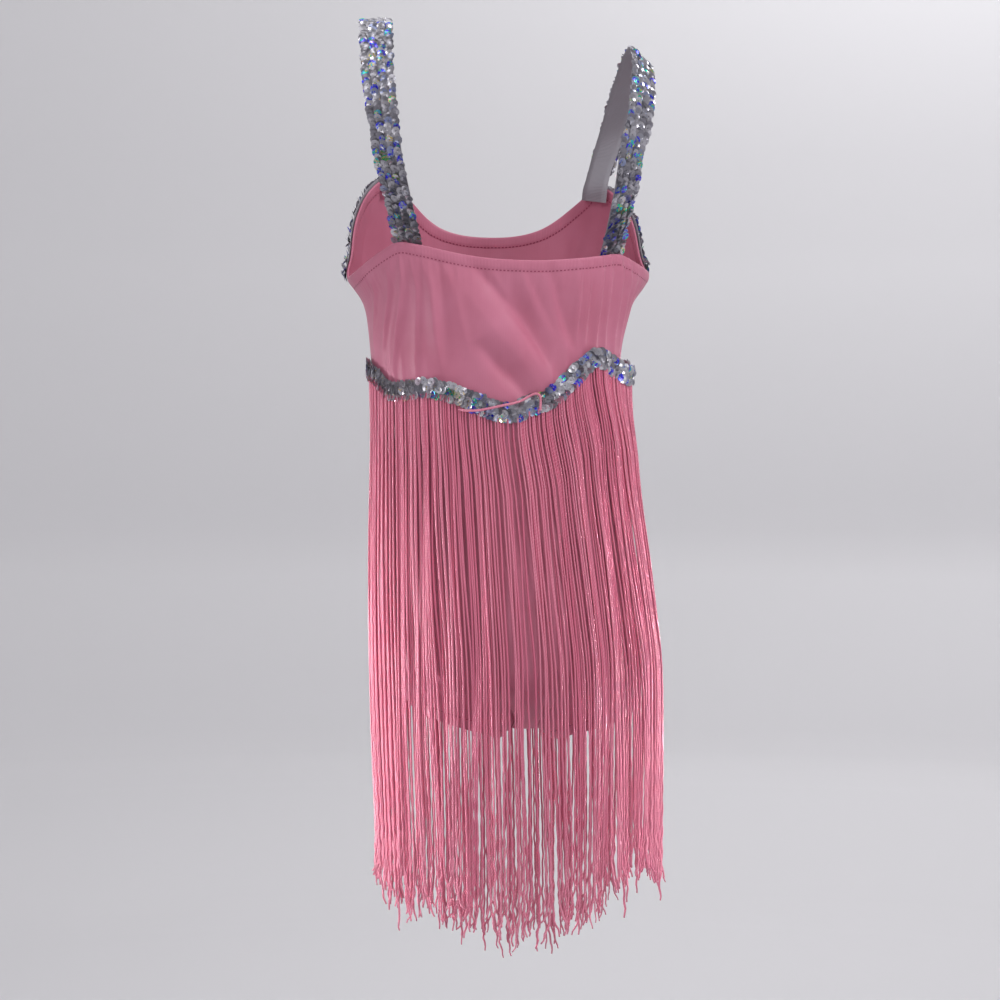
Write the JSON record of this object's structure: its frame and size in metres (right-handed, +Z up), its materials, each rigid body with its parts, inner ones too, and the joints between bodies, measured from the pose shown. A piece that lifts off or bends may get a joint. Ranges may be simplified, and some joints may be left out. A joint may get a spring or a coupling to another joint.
{
  "type": "tap dance costume",
  "caption": "Child's sleeveless leotard worn upright, with sequin straps, wavy sequin trims and a long hip-length cord fringe hanging all round below the bust.",
  "frame": {"origin": "midway between the wearer's shoulders, about level with where the straps rest; the left strap's underside is 4 mm above it and the right strap's about 19 mm below it", "axes": "+Z up, the way the wearer stands; +X to the wearer's left; the wearer faces -Y, so the pictured back looks to +Y"},
  "size_m": [0.255, 0.1952, 0.7565],
  "materials": {
    "cloth": "pink stretch knit with a soft sheen",
    "edging": "the same knit turned over elastic, with a stitched line",
    "sequins": "silver cupped sequins with rainbow flashes",
    "fringe": "pink twisted rayon cord with a silky shine"
  },
  "bodies": {
    "root": {"leotard_back": "cloth", "leotard_front": "cloth", "armhole_edge_back_left": "edging", "armhole_edge_back_right": "edging", "neck_edge_back": "edging", "armhole_edge_front_left": "edging", "armhole_edge_front_right": "edging", "neck_edge_front": "edging", "leg_edge_left": "edging", "leg_edge_right": "edging", "strap_left": "sequins", "strap_right": "sequins", "trim_back": "sequins", "trim_front": "sequins", "armhole_trim_left": "sequins", "armhole_trim_right": "sequins", "fringe_back": "fringe", "fringe_front": "fringe"}
  },
  "joints": []
}
